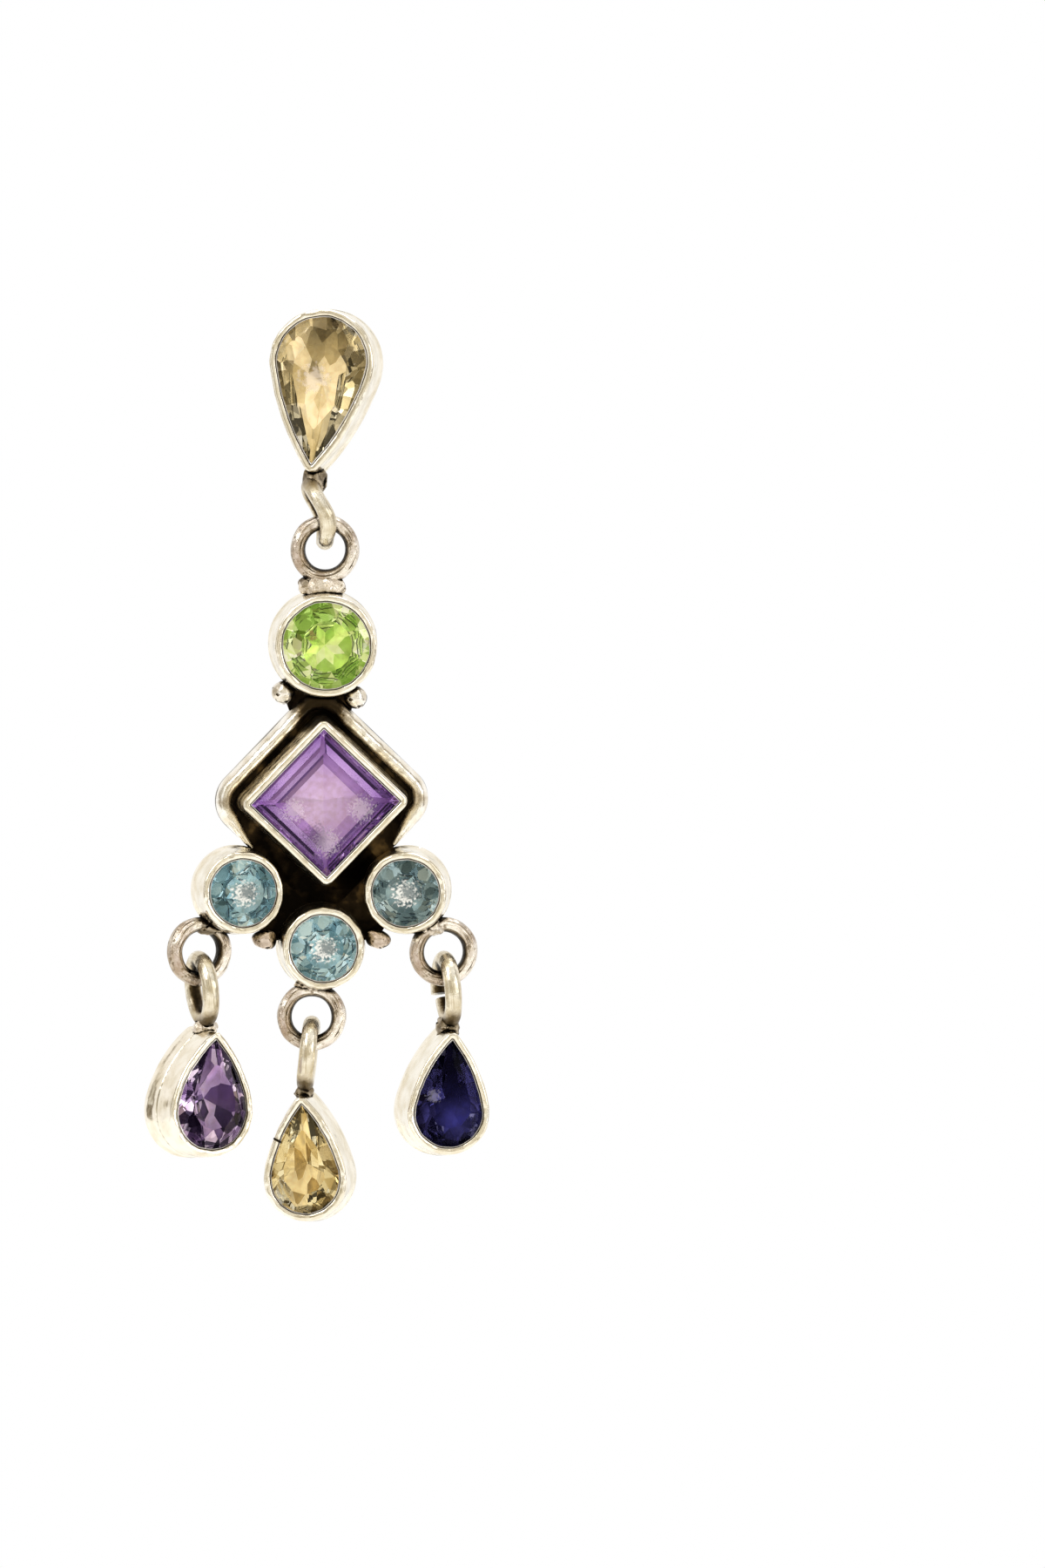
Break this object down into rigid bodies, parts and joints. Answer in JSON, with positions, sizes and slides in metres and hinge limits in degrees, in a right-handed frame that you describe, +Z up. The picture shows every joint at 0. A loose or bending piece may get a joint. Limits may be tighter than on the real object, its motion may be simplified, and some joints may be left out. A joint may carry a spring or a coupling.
{
  "type": "drop earring",
  "caption": "Chandelier drop earring: pear stud on an ear post, hanging frame of bezel-set stones with a raised border wire, and small pear drops on bail rings.",
  "frame": {"origin": "where the ear post leaves the middle of the stud's flat back", "axes": "+Z up as the earring hangs, +Y along the ear post, from the stud's flat back to the post's end, so the stones face -Y"},
  "size_m": [0.0188, 0.0142, 0.05],
  "materials": {
    "silver": "hand-polished silver, blackened in its recesses and at the solder joints",
    "citrine": "clear golden brown faceted stone, polished",
    "peridot": "clear yellow-green faceted stone, polished",
    "amethyst": "clear purple faceted stone, polished",
    "topaz": "pale grey-blue faceted stone, polished, milky at its middle",
    "iolite": "deep navy faceted stone, polished"
  },
  "bodies": {
    "stud": {"stud_setting": "silver", "stud_citrine": "citrine"},
    "main_drop": {"frame_setting": "silver", "peridot": "peridot", "amethyst": "amethyst", "topaz_left": "topaz", "topaz_middle": "topaz", "topaz_right": "topaz", "drop_left_setting": "silver", "drop_left_amethyst": "amethyst", "drop_middle_setting": "silver", "drop_middle_citrine": "citrine", "drop_right_setting": "silver", "drop_right_iolite": "iolite"}
  },
  "joints": [
    {"name": "drop_swing", "type": "hinge", "parent": "stud", "child": "main_drop", "pos_m": [-0.00005, -0.00116, -0.00966], "axis": [0.2334, -0.9724, 0], "range_deg": [-75, 75]}
  ]
}
